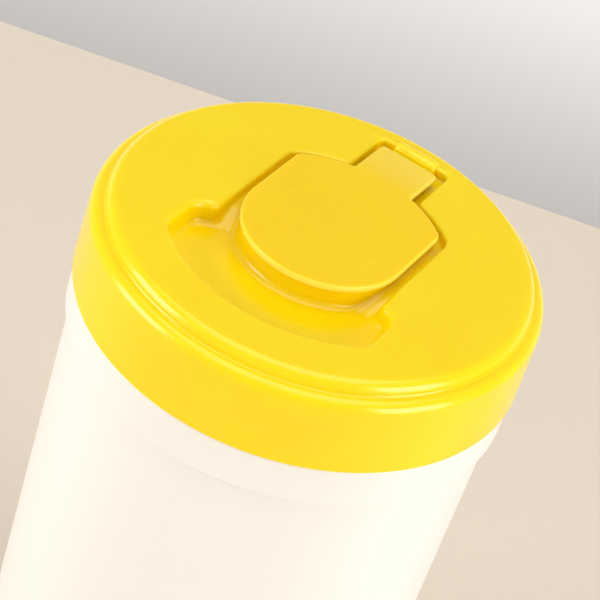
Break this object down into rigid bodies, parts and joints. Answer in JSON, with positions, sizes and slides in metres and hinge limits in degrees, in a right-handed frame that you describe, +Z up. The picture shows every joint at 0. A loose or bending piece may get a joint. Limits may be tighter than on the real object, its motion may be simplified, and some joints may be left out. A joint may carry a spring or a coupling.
{
  "type": "wipes canister",
  "caption": "Round plastic canister with a snap lid and a hinged dispensing flap that holds a centre-feed roll of moist wipes.",
  "frame": {"origin": "centre of the plane that the canister stands on", "axes": "+Z up along the canister's axis, +Y towards the flap's hinge, -Y towards the finger well"},
  "size_m": [0.104, 0.104, 0.2008],
  "materials": {
    "body_plastic": "blow-moulded white polyethylene, satin gloss",
    "lid_plastic": "injection-moulded yellow polypropylene, smooth gloss",
    "flap_plastic": "injection-moulded yellow polypropylene, smooth gloss, slightly see-through at its thin edge",
    "wipe_fabric": "moist white nonwoven, wound in a tight roll",
    "lead_wipe_fabric": "moist white nonwoven, twisted"
  },
  "bodies": {
    "canister": {"canister_body": "body_plastic", "wipes_roll": "wipe_fabric", "lead_wipe": "lead_wipe_fabric"},
    "lid": {"lid": "lid_plastic"},
    "flap": {"flap": "flap_plastic"}
  },
  "joints": [
    {"name": "lid_lift", "type": "slide", "parent": "canister", "child": "lid", "axis": [0, 0, 1], "range_m": [0, 0.05]},
    {"name": "flap_hinge", "type": "hinge", "parent": "lid", "child": "flap", "pos_m": [0, 0.0381, 0.1994], "axis": [-1, 0, 0], "range_deg": [0, 130]}
  ]
}
